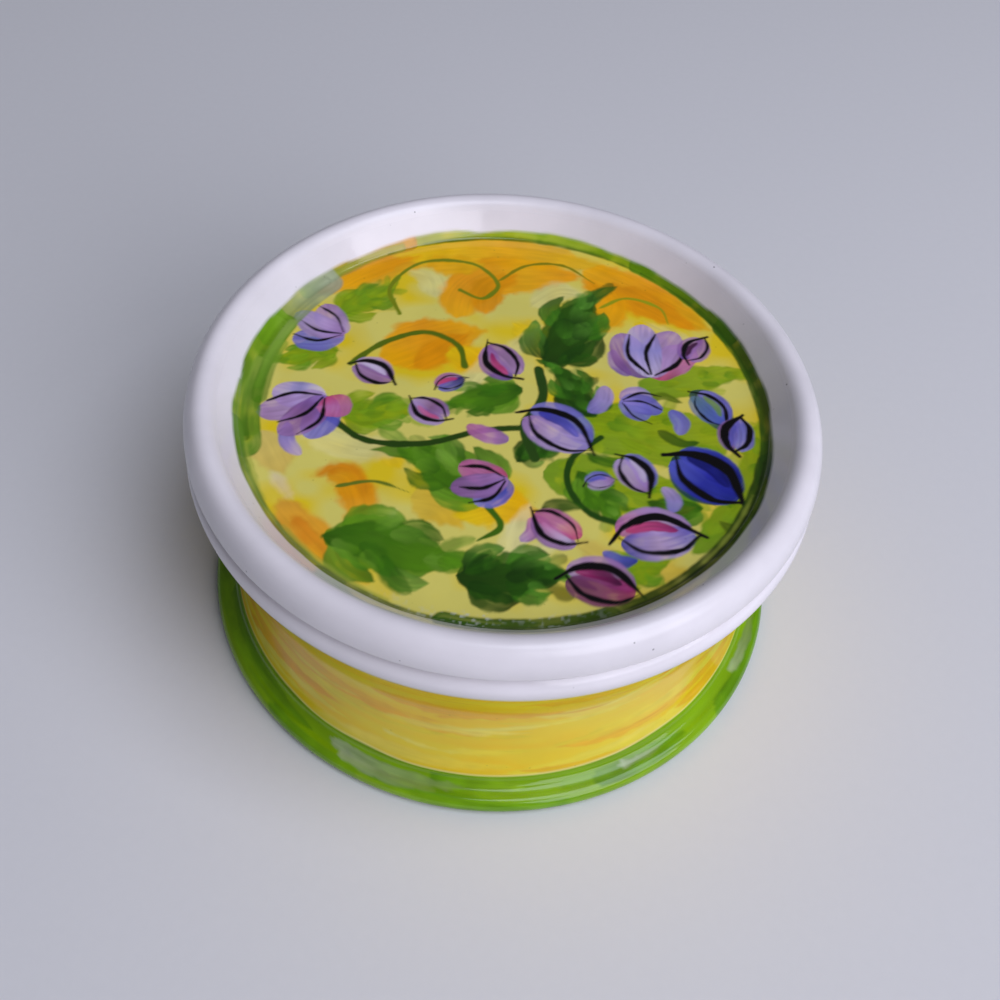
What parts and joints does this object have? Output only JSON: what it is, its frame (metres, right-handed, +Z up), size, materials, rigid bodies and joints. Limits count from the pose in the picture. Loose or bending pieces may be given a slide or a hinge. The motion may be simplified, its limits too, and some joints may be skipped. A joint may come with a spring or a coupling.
{
  "type": "pill box",
  "caption": "Round glazed ceramic pill box with a waisted base on a flared foot and a lift-off lid with a sunk painted panel.",
  "frame": {"origin": "centre of the foot's underside, on the table", "axes": "+Z up, along the axis that both pieces are turned about; the lid lifts along +Z; -Y is the side that the painted panel is seen from"},
  "size_m": [0.0626, 0.0626, 0.0294],
  "materials": {
    "painted_base_glaze": "hand painted yellow wall, green foot and white rim under a clear gloss glaze",
    "lid_glaze": "white rim and hand painted flower panel under a clear gloss glaze"
  },
  "bodies": {
    "base": {"base": "painted_base_glaze"},
    "lid": {"lid": "lid_glaze"}
  },
  "joints": [
    {"name": "lid_lift", "type": "slide", "parent": "base", "child": "lid", "axis": [0, 0, 1], "range_m": [0, 0.03]}
  ]
}
